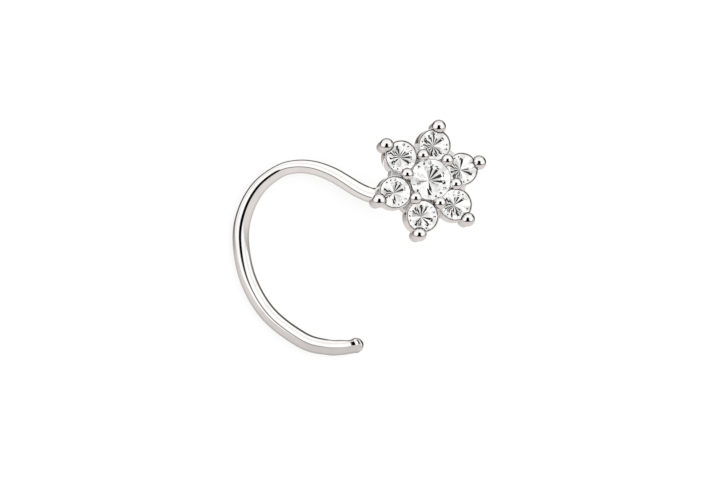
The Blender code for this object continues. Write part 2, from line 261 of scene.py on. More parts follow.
def scatter(number):
    """A chance value from 0 to 1 that belongs to a number."""
    settings = {"noise_dimensions": "1D"}
    return Signal.node(number.socket.id_data, "ShaderNodeTexWhiteNoise", settings, {"W": number}, "Value")


def mesh_value(tree, name, output="Fac"):
    """What the mesh keeps under a name at each of its points or faces."""
    return Signal.node(tree, "ShaderNodeAttribute", {"attribute_name": name}, output=output)


def own_place(tree):
    """The place on a piece in its own frame, in millimetres."""
    return Signal.node(tree, "ShaderNodeTexCoord", output="Object") * (1.0 / MM)


# Materials

def new_finish(name):
    made = bpy.data.materials.new(name)
    made.use_nodes = True
    shader = made.node_tree.nodes["Principled BSDF"]
    return made, made.node_tree, shader


SILVER = (0.95, 0.94, 0.93)
SILVER_SHADE = (0.90, 0.885, 0.87)
SHADE_PATCHES = (0.35, 0.75)
HAZE_SHARE = 0.5  # of the bump, beside the marks
HAZE_GAIN = 2.0


def polished_metal(name, marks_of, mark_depth, smooth, rough):
    """White metal with a soft change of tone, and fine marks that follow how the piece was worked."""
    made, tree, shader = new_finish(name)
    place = own_place(tree)
    marks = marks_of(tree, place)
    tone = noise(place, scale=1.3, detail=3.0)
    haze = noise(place, scale=7.0, detail=4.0, roughness=0.6)
    Signal.feed(tone.within(*SHADE_PATCHES).between(SILVER, SILVER_SHADE), shader.inputs["Base Color"])
    Signal.feed(marks * haze * (rough - smooth) * HAZE_GAIN + smooth, shader.inputs["Roughness"])
    shader.inputs["Metallic"].default_value = 1.0
    bump = {"Height": marks + haze * HAZE_SHARE, "Strength": 1.0, "Distance": mark_depth}
    Signal.feed(Signal.node(tree, "ShaderNodeBump", {}, bump), shader.inputs["Normal"])
    return made


DRAWN_MARKS_STRETCH = Vector((9.0, 9.0, 0.35))  # round the wire, and along it


def drawn_marks(tree, place):
    """Faint lines along the wire, left by the die that it was drawn through."""
    lie = mesh_value(tree, "wire_lie", "Vector")
    return noise(lie * DRAWN_MARKS_STRETCH, scale=1.0, detail=3.0, roughness=0.6)


RINGS_WAVER = 0.3


def turned_marks(tree, place):
    """Rings round a piece that was polished as it turned."""
    outward = place.vector_math("LENGTH", {0: place * Vector((1.0, 1.0, 0.0))}, "Value")
    inputs = {"X": outward, "Y": place.dot(UP), "Z": noise(place, scale=3.0) * RINGS_WAVER}
    rings = Signal.node(tree, "ShaderNodeCombineXYZ", {}, inputs)
    return noise(rings, scale=30.0)


def tumbled_marks(tree, place):
    """The even, soft unevenness of cast metal that was tumbled bright."""
    return noise(place, scale=14.0, detail=3.0, roughness=0.55)


CROWN_CLEAR = (1.0, 1.0, 1.0)
CROWN_CLOUD = (0.985, 0.99, 1.0)
CROWN_PATCHES = (0.3, 0.7)
CROWN_HAZE_PATCHES = (0.55, 0.8)
CROWN_BENDING = 1.55
CROWN_HAZE = 0.006


def crown_finish():
    """Clear colourless stone, with very slight clouds and facets that are polished a little unlike."""
    made, tree, shader = new_finish("crown_facets")
    place = own_place(tree)
    cloud = noise(place, scale=1.8).within(*CROWN_PATCHES)
    haze = noise(place, scale=9.0).within(*CROWN_HAZE_PATCHES)
    Signal.feed(cloud.between(CROWN_CLEAR, CROWN_CLOUD), shader.inputs["Base Color"])
    Signal.feed(haze * CROWN_HAZE, shader.inputs["Roughness"])
    shader.inputs["Transmission Weight"].default_value = 1.0
    shader.inputs["IOR"].default_value = CROWN_BENDING
    return made


# The painted reflection that a stone's lower facets glow with, seen through its crown. Reaches are shares of
# the stone's radius, and a pair is where a change starts and where it ends
STAR_RAYS = 26
RAY_WAVES = 3.0  # how often round the stone the rays grow wider and narrower
RAY_WAVER = 0.07
RAY_SEEDS = (0.0, 71.3, 133.7)
RAY_EDGE = (-0.01, 0.01)
LIGHT_RAY_SPREAD = 0.55  # from the brightest light ray to the dullest
DARK_RAY_SPREAD = 0.03
STAR_END = (0.64, 0.68)
STAR_END_SPREAD = 0.18  # from the longest ray to the shortest
RING_TONE = 1.0
RING_SPREAD = 0.34
DOTS_ROUND = 2 * CUT_SIDES
DOT_WIDTH = (0.19, 0.13)  # of half a dot, as a share of the room that each has
DOT_INNER_END = (0.62, 0.65)
DOT_OUTER_END = (0.82, 0.78)
DOT_SEED = 9.1
DOT_CHANCE = (0.50, 0.56)
DOT_DEPTH = 0.94
GIRDLE_LINE = (0.93, 0.965)
GIRDLE_LINE_DEPTH = 0.75
PAVILION_PATCHES = (0.4, 0.75)
PAVILION_PATCH_DEPTH = 0.12
PAVILION_PAINTED_BLACK = (0.0, 0.0, 0.0)
PAVILION_PAINTED_TONE = (0.40, 0.395, 0.39)
PAVILION_PAINTED_GLOW = (1.0, 0.995, 0.985)
PAVILION_PAINTED_GLOW_STRENGTH = 1.12


def painted_pavilion_finish():
    """The lower facets: a painted reflection that glows, a star of light and dark rays in a bright ring with
    dark dots, with a painted dark line at the girdle.
    """
    made, tree, shader = new_finish("pavilion_painted_glow")
    place = own_place(tree)
    reach = mesh_value(tree, "facet_reach")
    ahead, aside = place.dot((1.0, 0.0, 0.0)), place.dot((0.0, 1.0, 0.0))
    heading = aside.math("ARCTAN2", aside, ahead)
    waves = heading * RAY_WAVES
    ray = (heading + waves.math("SINE", waves) * RAY_WAVER) * (STAR_RAYS / math.tau)
    which = ray.math("FLOOR", ray)
    chance, lightness, ring_chance = [scatter(which + start) for start in RAY_SEEDS]
    every_other = which * 0.5
    every_other = every_other.math("FRACT", every_other)
    dark = (mesh_value(tree, "painted_dark_share") - every_other - chance * 0.5).within(*RAY_EDGE)
    bright = 1.0 - lightness * LIGHT_RAY_SPREAD
    bright = bright + (lightness * DARK_RAY_SPREAD - bright) * dark
    outer = (reach + lightness * STAR_END_SPREAD).within(*STAR_END)
    ring = RING_TONE - ring_chance * RING_SPREAD
    bright = bright + (ring - bright) * outer
    dot = heading * (DOTS_ROUND / math.tau)
    dot = abs(dot.math("FRACT", dot) - 0.5)
    dots = dot.within(*DOT_WIDTH) * reach.within(*DOT_INNER_END) * reach.within(*DOT_OUTER_END)
    dots = dots * scatter(which + DOT_SEED).within(*DOT_CHANCE)
    bright = bright * (1.0 - dots * DOT_DEPTH)
    # painted shade: a dark line at the girdle's edge, standing in for the dark gap round the stone
    bright = bright * (1.0 - reach.within(*GIRDLE_LINE) * GIRDLE_LINE_DEPTH)
    bright = bright * (1.0 - noise(place, scale=3.0).within(*PAVILION_PATCHES) * PAVILION_PATCH_DEPTH)
    Signal.feed(bright.between(PAVILION_PAINTED_BLACK, PAVILION_PAINTED_TONE), shader.inputs["Base Color"])
    # the painted reflection glows through Emission, though the stone is no lamp
    Signal.feed(bright.between(PAVILION_PAINTED_BLACK, PAVILION_PAINTED_GLOW), shader.inputs["Emission Color"])
    shader.inputs["Emission Strength"].default_value = PAVILION_PAINTED_GLOW_STRENGTH
    shader.inputs["Metallic"].default_value = 1.0
    shader.inputs["Roughness"].default_value = 0.04
    return made


# Painted shade: the seat's colour is darkened as the shade in the recess under a stone
SEAT_PAINTED_SHADE_DARK = (0.10, 0.09, 0.085)
SEAT_PAINTED_SHADE_LIGHT = (0.20, 0.185, 0.175)
SEAT_SMOOTH = 0.3
SEAT_ROUGH = 0.5
SEAT_PAINTED_SHADE_SHARE = 1.2  # of the stone's clearance, that the dull finish and painted shade reach


def seat_painted_shade_finish():
    """The cut seat under a stone, dulled by the burr, with its colour painted dark as the shade in the
    recess under the stone.
    """
    made, tree, shader = new_finish("cut_seat_painted_shade")
    grain = noise(own_place(tree), scale=16.0, detail=3.0)
    Signal.feed(grain.between(SEAT_PAINTED_SHADE_DARK, SEAT_PAINTED_SHADE_LIGHT), shader.inputs["Base Color"])
    Signal.feed(grain * (SEAT_ROUGH - SEAT_SMOOTH) + SEAT_SMOOTH, shader.inputs["Roughness"])
    shader.inputs["Metallic"].default_value = 1.0
    return made


FLOOR_DARK = (0.12, 0.12, 0.12)
FLOOR_LIGHT = (0.15, 0.15, 0.15)
FLOOR_GLOW = (1.0, 1.0, 1.0, 1.0)
FLOOR_GLOW_STRENGTH = 0.83


def floor_finish():
    """Pale even card that is lit from below as well, so that it shows hardly any shade."""
    made, tree, shader = new_finish("pale_floor")
    grain = noise(own_place(tree), scale=0.15, detail=4.0)
    Signal.feed(grain.between(FLOOR_DARK, FLOOR_LIGHT), shader.inputs["Base Color"])
    shader.inputs["Emission Color"].default_value = FLOOR_GLOW
    shader.inputs["Emission Strength"].default_value = FLOOR_GLOW_STRENGTH
    shader.inputs["Roughness"].default_value = 0.9
    shader.inputs["Specular IOR Level"].default_value = 0.1
    return made


# Mesh making

def mesh_object(name, shape, material):
    mesh = bpy.data.meshes.new(name)
    shape.to_mesh(mesh)
    shape.free()
    mesh.materials.append(material)
    made = bpy.data.objects.new(name, mesh)
    bpy.context.scene.collection.objects.link(made)
    return made


def shade_smooth(shape, smooth_under=SMOOTH_UNDER):
    for face in shape.faces:
        face.smooth = smooth_under > 0.0
    for edge in shape.edges:
        edge.smooth = edge.is_manifold and edge.calc_face_angle(0.0) < smooth_under


def finish_piece(name, shape, material, placed, smooth_under=SMOOTH_UNDER):
    """Turns a bmesh into a piece that rides with the object, shaded smooth apart from its sharp edges."""
    bmesh.ops.recalc_face_normals(shape, faces=shape.faces)
    shade_smooth(shape, smooth_under)
    made = mesh_object(name, shape, material)
    made.matrix_world = placed
    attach(made, "root")
    return made


def polar(angle, reach, height=0.0):
    return Vector((reach * math.cos(angle), reach * math.sin(angle), height))


def step(value, low, high):
    """0 below low and 1 above high, with a smooth step between."""
    share = min(max((value - low) / (high - low), 0.0), 1.0)
    return share * share * (3.0 - 2.0 * share)


def rounded(corners):
    """A profile's corners, each (reach, height, radius of its rounding), as points."""
    points = []
    for i, (reach, height, radius) in enumerate(corners):
        here = Vector((reach, height))
        if radius == 0.0:
            points.append(here)
            continue
        back = (Vector(corners[i - 1][:2]) - here).normalized()
        on = (Vector(corners[(i + 1) % len(corners)][:2]) - here).normalized()
        half = back.angle(on) / 2
        middle = here + (back + on).normalized() * radius / math.sin(half)
        start = here + back * radius / math.tan(half) - middle
        sweep = start.angle_signed(here + on * radius / math.tan(half) - middle)
        for row in range(ROUND_ROWS + 1):
            points.append(middle + Matrix.Rotation(-sweep * row / ROUND_ROWS, 2) @ start)
    return points


def turned(points, steps, ring=False):
    """A body of revolution about Z from a profile that runs from its top down the outside."""
    shape = bmesh.new()
    rows = []
    for point in points:
        if point[0] < MERGE:
            rows.append([shape.verts.new((0.0, 0.0, point[1]))] * steps)
        else:
            rows.append([shape.verts.new(polar(math.tau * i / steps, *point)) for i in range(steps)])
    pairs = list(zip(rows, rows[1:]))
    if ring:
        pairs.append((rows[-1], rows[0]))
    for upper, lower in pairs:
        for i in range(steps):
            j = (i + 1) % steps
            corners = dict.fromkeys((upper[i], lower[i], lower[j], upper[j]))
            shape.faces.new(corners)
    return shape


# Flower frame

def post_direction():
    return polar(POST_LEAN_HEADING, math.sin(POST_LEAN), math.cos(POST_LEAN))


def post_foot():
    return polar(0.0, POST_REACH, HOOP_ROUTE[-1].thickness * WIRE_DIAMETER / 2)


def flower_frame():
    """Origin amid the petal girdles, Z out of the flower's face, X the way that the post leans."""
    face = post_direction()
    side = UP.cross(face).normalized()
    turn = Matrix((side.cross(face), side, face)).transposed().to_4x4()
    return Matrix.Translation(HOOP_CENTRE + post_foot() + face * POST_LENGTH) @ turn


FLOWER = flower_frame()
CENTRE_PLACE = FLOWER @ Matrix.Translation((0.0, 0.0, CENTRE_STONE_LIFT))


def petal_angle(number):
    return FLOWER_TURN + math.tau * number / len(PETALS)


def valley_angle(number):
    return petal_angle(number) + math.pi / len(PETALS)


def at(angle, reach, height=0.0, turn=0.0):
    """A place on the flower, with X pointing away from the flower's centre."""
    place = Matrix.Translation(polar(angle, reach, height))
    return FLOWER @ place @ Matrix.Rotation(angle + turn, 4, "Z")


# Stones

# Which share of a stone's painted reflection rays is painted dark: the least all round, and more towards its
# two dark sides, in degrees
PETAL_DARK_LEAST = 0.22
CENTRE_DARK_LEAST = 0.04
DARK_WIDTHS = (40.0, 24.0)
DARK_SHARES = (0.51, 0.50)
DARK_FADE = 16.0


class Cut:
    """The corners and facets of a round brilliant, with its girdle's middle at height 0."""

    def __init__(self, diameter):
        self.radius = diameter / 2
        self.table = self.radius * TABLE_SHARE
        self.girdle = diameter * GIRDLE_SHARE / 2
        self.half_turn = math.pi / CUT_SIDES
        self.top = self.crown_height(self.table, 0.0)
        self.culet = self.pavilion_height(0.0, 0.0)
        table_side = self.table * math.cos(self.half_turn)
        self.star = table_side + (self.radius - table_side) * STAR_SHARE
        self.lower = self.radius * (1.0 - LOWER_FACET_SHARE)

    def crown_height(self, reach, off_axis):
        return self.girdle + (self.radius - reach * math.cos(off_axis)) * math.tan(CROWN_SLOPE)

    def pavilion_height(self, reach, off_axis):
        return -self.girdle - (self.radius - reach * math.cos(off_axis)) * math.tan(PAVILION_SLOPE)

    def facets(self):
        """Three corners of each facet, apart from the girdle."""
        yield [polar(a, self.table, self.top) for a in (0.0, 2.0, 4.0)]
        culet = Vector((0.0, 0.0, self.culet))
        star_height = self.crown_height(self.star, self.half_turn)
        lower_height = self.pavilion_height(self.lower, self.half_turn)
        for side in range(CUT_SIDES):
            main = 2.0 * self.half_turn * side
            over = polar(main, self.radius, self.girdle)
            under = polar(main, self.radius, -self.girdle)
            table_corner = polar(main, self.table, self.top)
            next_corner = polar(main + 2.0 * self.half_turn, self.table, self.top)
            for turn in (-self.half_turn, self.half_turn):
                star_end = polar(main + turn, self.star, star_height)
                lower_end = polar(main + turn, self.lower, lower_height)
                yield [star_end, over, polar(main + turn, self.radius, self.girdle)]
                yield [lower_end, under, polar(main + turn, self.radius, -self.girdle)]
            yield [table_corner, star_end, over]
            yield [table_corner, next_corner, star_end]
            yield [culet, under, lower_end]

    def seat_corners(self):
        room = SEAT_CLEARANCE
        return [
            (0.0, self.top + room),
            (self.table + room, self.top + room),
            (self.radius + room, self.girdle + room / 2),
            (self.radius + room, -self.girdle - room / 2),
            (0.0, self.culet - room / math.cos(PAVILION_SLOPE)),
        ]


def ground_stone(cut):
    """A round blank, ground flat facet by facet."""
    spare = 2.0 * cut.radius
    shape = turned([(0.0, spare), (cut.radius, spare), (cut.radius, -spare), (0.0, -spare)], GIRDLE_STEPS)
    for first, second, third in cut.facets():
        outward = (second - first).cross(third - first).normalized()
        if outward.dot(first) < 0.0:
            outward.negate()
        everything = [*shape.verts, *shape.edges, *shape.faces]
        ground = bmesh.ops.bisect_plane(shape, geom=everything, dist=MERGE, plane_co=first, plane_no=outward,
                                        clear_outer=True)
        rim = [edge for edge in ground["geom_cut"] if isinstance(edge, bmesh.types.BMEdge)]
        bmesh.ops.contextual_create(shape, geom=rim)
    return shape


def angle_apart(first, second):
    return abs((first - second + 180.0) % 360.0 - 180.0)


def painted_dark_share(place, dark_sides, least):
    """How many of the painted reflection rays are painted dark at a place on the pavilion: most towards its
    dark sides.
    """
    heading = math.degrees(math.atan2(place.y, place.x))
    share = least
    for dark_side, width, most in zip(dark_sides, DARK_WIDTHS, DARK_SHARES):
        depth = 1.0 - step(angle_apart(heading, dark_side), width, width + DARK_FADE)
        share = max(share, most * depth)
    return share


def brilliant(name, node, diameter, placed, heading, dark_sides, least, crown, pavilion):
    """A stone that no metal mirrors. Its lower facets keep how much of their painted reflection is painted
    dark, and how far out they lie.
    """
    cut = Cut(diameter)
    shape = ground_stone(cut)
    share = shape.faces.layers.float.new("painted_dark_share")
    reach = shape.verts.layers.float.new("facet_reach")
    local_sides = [side - heading for side in dark_sides]
    for vertex in shape.verts:
        vertex[reach] = vertex.co.xy.length / cut.radius
    for face in shape.faces:
        middle = face.calc_center_median()
        if middle.z < -cut.girdle:
            face.material_index = 1
            # the share of painted dark reflection rays on this facet
            face[share] = painted_dark_share(middle, local_sides, least)
    made = finish_piece(name, shape, crown, placed, smooth_under=0.0)
    made.data.materials.append(pavilion)
    made.visible_glossy = False
    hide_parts(node)
    return made


# Setting

def cup_round_stone(cut, rim, depth, bore):
    """A turned ring under one stone: bright rim, seat, and an open back."""
    outer = cut.radius + rim
    room = SEAT_CLEARANCE
    ledge = -cut.girdle - room / 2
    seat_foot = cut.culet - room / math.cos(PAVILION_SLOPE)
    slope = (ledge - seat_foot) / (cut.radius + room)
    seat_end = seat_foot + bore * slope
    return rounded([
        (cut.radius + room, COLLAR_RISE, FINE_EDGE_ROUND),
        (outer, COLLAR_RISE, EDGE_ROUND / 2),
        (outer, -depth, EDGE_ROUND),
        (bore, -depth, EDGE_ROUND),
        (bore, seat_end, FINE_EDGE_ROUND),
        (cut.radius + room, ledge, 0.0),
    ])


def paint_seat_shade(shape, reach, height):
    """Gives a cup's inner faces, under its stone, their second finish, which is dull and painted dark as
    shade.
    """
    for face in shape.faces:
        middle = face.calc_center_median()
        if middle.xy.length < reach and middle.z < height:
            face.material_index = 1


def petal_cup(number, material, seat):
    cut = Cut(PETAL_STONE_DIAMETER)
    points = cup_round_stone(cut, PETAL_RIM, HEAD_DEPTH, PETAL_BORE_DIAMETER / 2)
    shape = turned(points, TURNED_STEPS, ring=True)
    paint_seat_shade(shape, cut.radius + SEAT_CLEARANCE * SEAT_PAINTED_SHADE_SHARE, COLLAR_RISE - FINE_EDGE_ROUND)
    placed = at(petal_angle(number), PETAL_CIRCLE_RADIUS)
    made = finish_piece(f"petal_cup_{number + 1}", shape, material, placed)
    # the second slot holds the seat's painted shade
    made.data.materials.append(seat)
    return made


def centre_cup(material):
    """The cup in the flower's heart, closed at the back by the plate that the post is soldered to."""
    cut = Cut(CENTRE_STONE_DIAMETER)
    room = SEAT_CLEARANCE
    waist = PETAL_CIRCLE_RADIUS - PETAL_STONE_DIAMETER / 2 - 2.0 * room
    back = -HEAD_DEPTH - BACK_PLATE_PROUD
    hollow = cut.radius * HOLLOW_SHARE
    ledge = CENTRE_STONE_LIFT - cut.girdle - room / 2
    seat_foot = CENTRE_STONE_LIFT + cut.culet - room / math.cos(PAVILION_SLOPE)
    slope = (ledge - seat_foot) / (cut.radius + room)
    lip = cut.radius - room
    points = rounded([
        (0.0, BACK_PLATE - HEAD_DEPTH, 0.0),
        (hollow, BACK_PLATE - HEAD_DEPTH, EDGE_ROUND),
        (hollow, seat_foot + hollow * slope, FINE_EDGE_ROUND),
        (lip, seat_foot + lip * slope, 0.0),
        (waist, 0.0, 0.0),
        (waist, back, EDGE_ROUND / 2),
        (0.0, back, 0.0),
    ])
    return finish_piece("centre_cup", turned(points, TURNED_STEPS), material, FLOWER)


def web(number, material):
    """The bar that joins two neighbouring cups at the back of a valley, with its edges rounded."""
    inner = (CENTRE_STONE_DIAMETER / 2 + INNER_PRONG_REACH) / 2
    outer = PETAL_CIRCLE_RADIUS * math.cos(math.pi / len(PETALS)) + WEB_REACH
    top = COLLAR_RISE - WEB_DROP
    back = WEB_DROP - HEAD_DEPTH
    shape = bmesh.new()
    bmesh.ops.create_cube(shape, size=1.0)
    bmesh.ops.scale(shape, vec=Vector((outer - inner, WEB_WIDTH, top - back)), verts=shape.verts)
    bmesh.ops.bevel(shape, geom=shape.edges[:], offset=WEB_EDGE_ROUND, segments=WEB_ROWS, profile=0.5,
                    affect="EDGES")
    placed = at(valley_angle(number), (outer + inner) / 2, (top + back) / 2)
    return finish_piece(f"web_{number + 1}", shape, material, placed)


def prong_shape(kind):
    """A round shaft with a ball on top and a rounded foot."""
    ball, shaft = kind.ball / 2, kind.shaft / 2
    neck = -math.acos(shaft / ball)
    foot = -HEAD_DEPTH - PRONG_OVERHANG
    points = []
    for row in range(BALL_ROWS + 1):
        angle = math.pi / 2 + (neck - math.pi / 2) * row / BALL_ROWS
        points.append((ball * math.cos(angle), kind.lift + ball * math.sin(angle)))
    points[0] = (0.0, kind.lift + ball)
    foot_round = shaft * PRONG_FOOT_ROUND_SHARE
    points += rounded([(0.0, foot, 0.0), (shaft, foot, foot_round), (shaft, 0.0, 0.0)])[1:-1][::-1]
    points.append((0.0, foot))
    return turned(points, PRONG_STEPS)


def notched(made, seats):
    """Cuts the stones' seats from a prong, so that it grips them without touching."""
    notch = made.modifiers.new("notch", "BOOLEAN")
    notch.operation = "DIFFERENCE"
    notch.operand_type = "COLLECTION"
    notch.collection = seats
    notch.solver = "MANIFOLD"
    bpy.context.view_layer.update()
    graph = bpy.context.evaluated_depsgraph_get()
    mesh = bpy.data.meshes.new_from_object(made.evaluated_get(graph))
    made.modifiers.clear()
    made.data = mesh
    shape = bmesh.new()
    shape.from_mesh(mesh)
    bmesh.ops.dissolve_degenerate(shape, dist=MERGE, edges=shape.edges)
    shade_smooth(shape)
    shape.to_mesh(mesh)
    shape.free()
    return made


def seat_cutters():
    """The room that each stone needs, as helpers for cutting."""
    seats = bpy.data.collections.new("seats")
    bpy.context.scene.collection.children.link(seats)
    petal_cut = Cut(PETAL_STONE_DIAMETER)
    places = [(petal_cut, at(petal_angle(number), PETAL_CIRCLE_RADIUS)) for number in range(len(PETALS))]
    places.append((Cut(CENTRE_STONE_DIAMETER), CENTRE_PLACE))
    for number, (cut, placed) in enumerate(places):
        shape = turned(cut.seat_corners(), TURNED_STEPS)
        bmesh.ops.recalc_face_normals(shape, faces=shape.faces)
        mesh = bpy.data.meshes.new(f"seat_{number}")
        shape.to_mesh(mesh)
        shape.free()
        cutter = bpy.data.objects.new(mesh.name, mesh)
        cutter.matrix_world = placed
        seats.objects.link(cutter)
    return seats


def prongs(material):
    seats = seat_cutters()
    made = []
    for number, petal in enumerate(PETALS):
        outer_angle = petal_angle(number) + math.radians(petal.prong_shift)
        outer = at(outer_angle, PETAL_CIRCLE_RADIUS + OUTER_PRONG_REACH)
        inner = at(valley_angle(number), CENTRE_STONE_DIAMETER / 2 + INNER_PRONG_REACH)
        for name, kind, placed in (("outer", OUTER_PRONG, outer), ("inner", INNER_PRONG, inner)):
            title = f"{name}_prong_{number + 1}"
            piece = finish_piece(title, prong_shape(kind), material, placed)
            made.append(notched(piece, seats))
    for cutter in list(seats.objects):
        bpy.data.objects.remove(cutter)
    bpy.data.collections.remove(seats)
    return made


# Wire

def smooth_between(before, start, end, after, share):
    """Catmull-Rom: a value between start and end, on a curve through all four."""
    return 0.5 * (
        2.0 * start
        + (end - before) * share
        + (2.0 * before - 5.0 * start + 4.0 * end - after) * share**2
        + (3.0 * start - before - 3.0 * end + after) * share**3
    )


def post_bend(radius):
    arriving = polar(POST_ARRIVAL_HEADING, 1.0)
    leaving = post_direction()
    turn = arriving.angle(leaving)
    start = post_foot() - arriving * POST_BEND_RADIUS * math.tan(turn / 2)
    inward = (leaving - arriving * arriving.dot(leaving)).normalized()
    for i in range(BEND_RINGS + 1):
        angle = turn * i / BEND_RINGS
        along = arriving * math.sin(angle) + inward * (1.0 - math.cos(angle))
        yield start + along * POST_BEND_RADIUS, radius


def wire_sections():
    """The middle of the wire and its radius, from the ball end round the hoop and up the post."""
    knots = []
    for row in HOOP_ROUTE:
        radius = row.thickness * WIRE_DIAMETER / 2
        knots.append((polar(math.radians(row.angle), row.reach * HOOP_RADIUS, radius), radius))
    bend = list(post_bend(knots[-1][1]))
    through = [*knots, bend[0]]
    sections = []
    for i in range(len(through) - 1):
        window = [through[max(0, min(len(through) - 1, i + shift))] for shift in (-1, 0, 1, 2)]
        for ring in range(WIRE_RINGS):
            sections.append(tuple(smooth_between(*column, ring / WIRE_RINGS) for column in zip(*window)))
    top = post_foot() + post_direction() * (POST_LENGTH - HEAD_DEPTH + BACK_PLATE / 2)
    return [*sections, *bend, (top, bend[-1][1])]


def swept(sections):
    """A round tube through the sections, and where each of its points lies round and along it."""
    shape = bmesh.new()
    lie = shape.verts.layers.float_vector.new("wire_lie")
    rings = []
    side = None
    length = 0.0
    for i, (middle, radius) in enumerate(sections):
        before = sections[max(0, i - 1)][0]
        after = sections[min(len(sections) - 1, i + 1)][0]
        along = (after - before).normalized()
        length += (middle - before).length
        side = side or UP
        side = (side - along * side.dot(along)).normalized()
        other = along.cross(side)
        ring = []
        for count in range(WIRE_SIDES):
            angle = math.tau * count / WIRE_SIDES
            vertex = shape.verts.new(middle + (side * math.cos(angle) + other * math.sin(angle)) * radius)
            vertex[lie] = Vector((math.cos(angle), math.sin(angle), length / MM))
            ring.append(vertex)
        rings.append(ring)
    for ring, following in zip(rings, rings[1:]):
        for i in range(WIRE_SIDES):
            j = (i + 1) % WIRE_SIDES
            shape.faces.new((ring[i], ring[j], following[j], following[i]))
    shape.faces.new(rings[0][::-1])
    shape.faces.new(rings[-1])
    return shape


def hoop_wire(material):
    return finish_piece("hoop_wire", swept(wire_sections()), material,
                        Matrix.Translation(HOOP_CENTRE))


def end_ball(material):
    """The ball that the wire ends in, resting on the floor."""
    radius = END_BALL_DIAMETER / 2
    end = HOOP_ROUTE[0]
    rows = 2 * BALL_ROWS
    points = [(0.0, radius)]
    for row in range(1, rows):
        angle = math.pi * (0.5 - row / rows)
        points.append((radius * math.cos(angle), radius * math.sin(angle)))
    points.append((0.0, -radius))
    place = HOOP_CENTRE + polar(math.radians(end.angle), end.reach * HOOP_RADIUS, radius)
    return finish_piece("end_ball", turned(points, PRONG_STEPS), material,
                        Matrix.Translation(place))


def post_solder(material):
    """The hollow fillet of solder between the post and the back plate."""
    post = HOOP_ROUTE[-1].thickness * WIRE_DIAMETER / 2
    plate = -HEAD_DEPTH - BACK_PLATE_PROUD
    points = [(0.0, plate + FINE_EDGE_ROUND), (post + SOLDER_REACH, plate + FINE_EDGE_ROUND)]
    for row in range(2 * ROUND_ROWS + 1):
        angle = math.pi / 2 * row / (2 * ROUND_ROWS)
        reach = post + SOLDER_REACH * (1.0 - math.sin(angle))
        points.append((reach, plate - SOLDER_REACH * (1.0 - math.cos(angle))))
    points.append((0.0, plate - SOLDER_REACH))
    return finish_piece("post_solder", turned(points, TURNED_STEPS), material, FLOWER)


# Floor, light and camera

def camera_axes():
    """Right, up and back towards the camera, in the object's frame."""
    across = polar(CAMERA_HEADING, 1.0)
    along = polar(CAMERA_HEADING + math.pi / 2, 1.0)
    rising = across * math.cos(CAMERA_LEAN) + UP * math.sin(CAMERA_LEAN)
    back = UP * math.cos(CAMERA_LEAN) - across * math.sin(CAMERA_LEAN)
    right = rising * math.cos(CAMERA_ROLL) - along * math.sin(CAMERA_ROLL)
    up = rising * math.sin(CAMERA_ROLL) + along * math.cos(CAMERA_ROLL)
    return right, up, back


def camera():
    data = bpy.data.cameras.new("camera")
    data.sensor_width = SENSOR_WIDTH
    data.sensor_fit = "HORIZONTAL"
    data.lens = SENSOR_WIDTH * PIXELS_PER_METRE * CAMERA_DISTANCE / IMAGE_SIZE.x
    data.clip_start = CAMERA_NEAR_END
    right, up, back = camera_axes()
    aside = IMAGE_SIZE / 2 - HOOP_MIDDLE_PIXEL
    middle = HOOP_CENTRE + UP * HOOP_MIDDLE_HEIGHT
    middle += (right * aside.x - up * aside.y) / PIXELS_PER_METRE
    made = bpy.data.objects.new("camera", data)
    made.matrix_world = Matrix.Translation(middle + back * CAMERA_DISTANCE) @ Matrix(
        (right, up, back)).transposed().to_4x4()
    bpy.context.scene.collection.objects.link(made)
    bpy.context.scene.camera = made


def floor():
    shape = bmesh.new()
    bmesh.ops.create_circle(shape, cap_ends=True, segments=FLOOR_STEPS, radius=FLOOR_RADIUS)
    made = mesh_object("floor", shape, floor_finish())
    made.visible_glossy = False
    made.visible_transmission = False


# The reflector card round the wire, at angles of the hoop. A place across the wire is 0 amid it, 1 at its
# inner edge and -1 at its outer edge, and a tone is 1 for white. The strip has its place, half its width
# and its tone, and each flank the place where it starts and its tone
CardRow = namedtuple("CardRow", "angle strip inner outer")
WIRE_CARD = (
    CardRow(angle=258, strip=(0.05, 0.03, 0.45), inner=(0.75, 0.40), outer=(0.00, 0.60)),
    CardRow(angle=240, strip=(0.00, 0.05, 0.45), inner=(0.86, 0.30), outer=(-0.03, 0.62)),
    CardRow(angle=222, strip=(-0.06, 0.06, 0.30), inner=(0.78, 0.10), outer=(-0.10, 0.62)),
    CardRow(angle=172, strip=(-0.06, 0.07, 0.12), inner=(0.80, 0.16), outer=(-0.36, 0.70)),
    CardRow(angle=150, strip=(-0.07, 0.15, 0.00), inner=(0.76, 0.40), outer=(-0.58, 0.68)),
    CardRow(angle=130, strip=(-0.10, 0.17, 0.00), inner=(0.10, 0.75), outer=(-0.80, 0.18)),
    CardRow(angle=84, strip=(-0.14, 0.15, 0.00), inner=(-0.03, 0.75), outer=(-0.86, 0.14)),
    CardRow(angle=82, strip=(-0.08, 0.06, 0.12), inner=(-0.05, 0.75), outer=(-0.86, 0.20)),
    CardRow(angle=66, strip=(0.05, 0.06, 0.20), inner=(0.08, 0.76), outer=(-0.86, 0.20)),
    CardRow(angle=20, strip=(0.32, 0.06, 0.18), inner=(0.35, 0.77), outer=(-0.80, 0.14)),
)
CARD_DISTANCE = 2.0  # of the card from the wire's middle, in the wire's own radii
CARD_REACH = 1.2 * MM  # farther off than this nothing reflects the card
CARD_STEPS = 96
CARD_FIRST_ANGLE = 258.0  # of the hoop, where it starts to mirror the card
CARD_LAST_ANGLE = 5.0
CARD_FADE = 1.0
CARD_OVERHANG = 1.2 * MM  # of the card past the end of the wire
CARD_OVERHANG_RINGS = 24
BELL_ANGLE = 255.2  # of a black bell on the card, beside the end ball
BELL_HALF_WIDTH = 1.2
